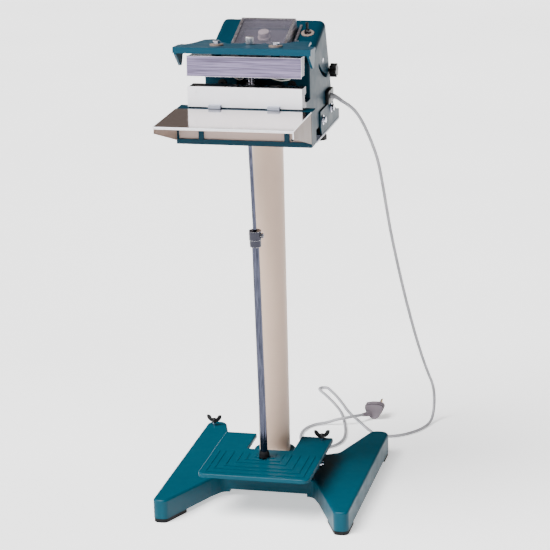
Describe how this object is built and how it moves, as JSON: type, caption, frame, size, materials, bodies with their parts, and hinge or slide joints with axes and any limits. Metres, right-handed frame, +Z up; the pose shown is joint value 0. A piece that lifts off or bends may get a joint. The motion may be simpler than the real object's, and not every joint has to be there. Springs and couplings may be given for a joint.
{
  "type": "foot-operated impulse heat sealer",
  "caption": "Pedal-operated impulse heat sealer: teal head with sealing jaws and tray on a cream column with an H-shaped base, pull rod, control panel and mains lead.",
  "frame": {"origin": "centre of the standing machine's box on the floor; the column's axis is at X = 0, Y = 0.068 m", "axes": "+Z up, the operator stands at -Y, +X to the operator's right"},
  "size_m": [0.5126, 1.0502, 1.0805],
  "materials": {
    "teal_paint": "gloss",
    "cream_paint": "gloss",
    "beige_paint": "satin",
    "polished_steel": "polished",
    "white_cover": "gloss",
    "brushed_cover": "brushed",
    "chrome": "polished",
    "aluminium": "satin",
    "grey_plate": "satin",
    "black_rubber": "matte",
    "black_plastic": "gloss",
    "silicone": "matte",
    "ribbon": "satin",
    "spring_steel": "satin",
    "white_wire": "satin",
    "smoky_pane": "polished",
    "cream_plastic": "satin",
    "dial_grey": "satin",
    "toggle_metal": "polished",
    "board_green": "satin",
    "cord_grey": "satin",
    "plug_grey": "satin",
    "brass_pins": "polished"
  },
  "bodies": {
    "stand": {"arm_hinge_shaft": "chrome", "base_casting": "teal_paint", "beam_panel": "beige_paint", "bottom_plate": "grey_plate", "collar_set_screws": "chrome", "cord_gland": "black_plastic", "cover_clips": "grey_plate", "cover_screws": "chrome", "front_beam": "teal_paint", "head_housing": "teal_paint", "head_saddle": "teal_paint", "heating_ribbon": "ribbon", "jaw_insulation_strip": "black_rubber", "lower_jaw_bar": "aluminium", "lower_jaw_cover": "white_cover", "mains_cord": "cord_grey", "microswitch": "black_plastic", "mounting_plate": "grey_plate", "pedal_shaft": "chrome", "plug_body": "plug_grey", "plug_pins": "brass_pins", "post_tube": "cream_paint", "rear_cover": "teal_paint", "return_spring": "spring_steel", "rubber_feet": "black_rubber", "saddle_bolts": "chrome", "terminal_block": "black_plastic", "timer_board": "board_green", "timer_dial": "dial_grey", "toggle_plate": "toggle_metal", "toggle_switch": "toggle_metal", "transformer": "spring_steel", "tray_gussets": "polished_steel", "window_base_frame": "aluminium", "wire_grommets": "black_rubber", "work_tray": "polished_steel"},
    "arm": {"arm_casting": "teal_paint", "upper_jaw_bar": "aluminium", "upper_jaw_cover": "brushed_cover", "silicone_strip": "silicone", "boss_washers": "beige_paint", "upper_jaw_bolts": "chrome", "upper_jaw_leads": "white_wire"},
    "pull_rod": {"rod_eye": "chrome", "rod_boot": "black_rubber", "pull_tube": "chrome", "rod_collar": "chrome", "upper_rod": "chrome", "pressure_bolt": "chrome"},
    "pressure_nut": {"pressure_nut": "chrome"},
    "pedal": {"pedal_plate": "teal_paint", "pedal_cross_pin": "chrome"},
    "stop_bolt": {"pedal_stop_wing_bolt": "black_plastic"},
    "leveller": {"leveller_wing_bolt": "black_plastic"},
    "toggle": {"toggle_lever": "toggle_metal"},
    "timer_knob": {"timer_knob": "cream_plastic"},
    "window": {"window_frame": "aluminium", "window_pane": "smoky_pane"},
    "star_knob": {"side_star_knob": "black_plastic"},
    "clamp_knob": {"clamp_knob": "black_plastic"}
  },
  "joints": [
    {"name": "pedal_hinge", "type": "hinge", "parent": "stand", "child": "pedal", "pos_m": [0, 0.03625, 0.074], "axis": [1, 0, 0], "range_deg": [0, 12.7]},
    {"name": "arm_hinge", "type": "hinge", "parent": "stand", "child": "arm", "pos_m": [0, 0.12825, 0.985], "axis": [1, 0, 0], "range_deg": [0, 4.68], "stiffness_Nm_per_rad": 120, "springref_deg": -9.17, "deforming": ["return_spring"]},
    {"name": "rod_swing", "type": "hinge", "parent": "arm", "child": "pull_rod", "pos_m": [0, -0.07075, 1.0554], "axis": [1, 0, 0], "range_deg": [-4.45, 0]},
    {"name": "pressure_nut_turn", "type": "hinge", "parent": "pull_rod", "child": "pressure_nut", "pos_m": [0, -0.07075, 1.068], "axis": [0, 0, 1], "continuous": true},
    {"name": "stop_bolt_turn", "type": "hinge", "parent": "pedal", "child": "stop_bolt", "pos_m": [0.105, 0.09425, 0.104], "axis": [0, 0, 1], "continuous": true},
    {"name": "leveller_turn", "type": "hinge", "parent": "stand", "child": "leveller", "pos_m": [-0.201, 0.28625, 0.04], "axis": [0, 0, 1], "continuous": true},
    {"name": "toggle_flip", "type": "hinge", "parent": "stand", "child": "toggle", "pos_m": [0.088, 0.10035, 1.05442], "axis": [1, 0, 0], "range_deg": [0, 22.6]},
    {"name": "timer_turn", "type": "hinge", "parent": "stand", "child": "timer_knob", "pos_m": [-0.002, 0.0716, 1.04274], "axis": [0, -0.3343, 0.9425], "range_deg": [0, 300]},
    {"name": "window_lift", "type": "hinge", "parent": "stand", "child": "window", "pos_m": [0, 0.12123, 1.06077], "axis": [-1, 0, 0], "range_deg": [0, 100]},
    {"name": "star_knob_turn", "type": "hinge", "parent": "stand", "child": "star_knob", "pos_m": [0.125, 0.18725, 0.952], "axis": [1, 0, 0], "continuous": true},
    {"name": "clamp_knob_turn", "type": "hinge", "parent": "stand", "child": "clamp_knob", "pos_m": [0.1, 0.16125, 0.805], "axis": [0, 0, 1], "continuous": true}
  ],
  "couplings": [
    {"joint": "arm_hinge", "follows": "pedal_hinge", "ratio": 0.3685},
    {"joint": "rod_swing", "follows": "pedal_hinge", "ratio": -0.35039}
  ]
}
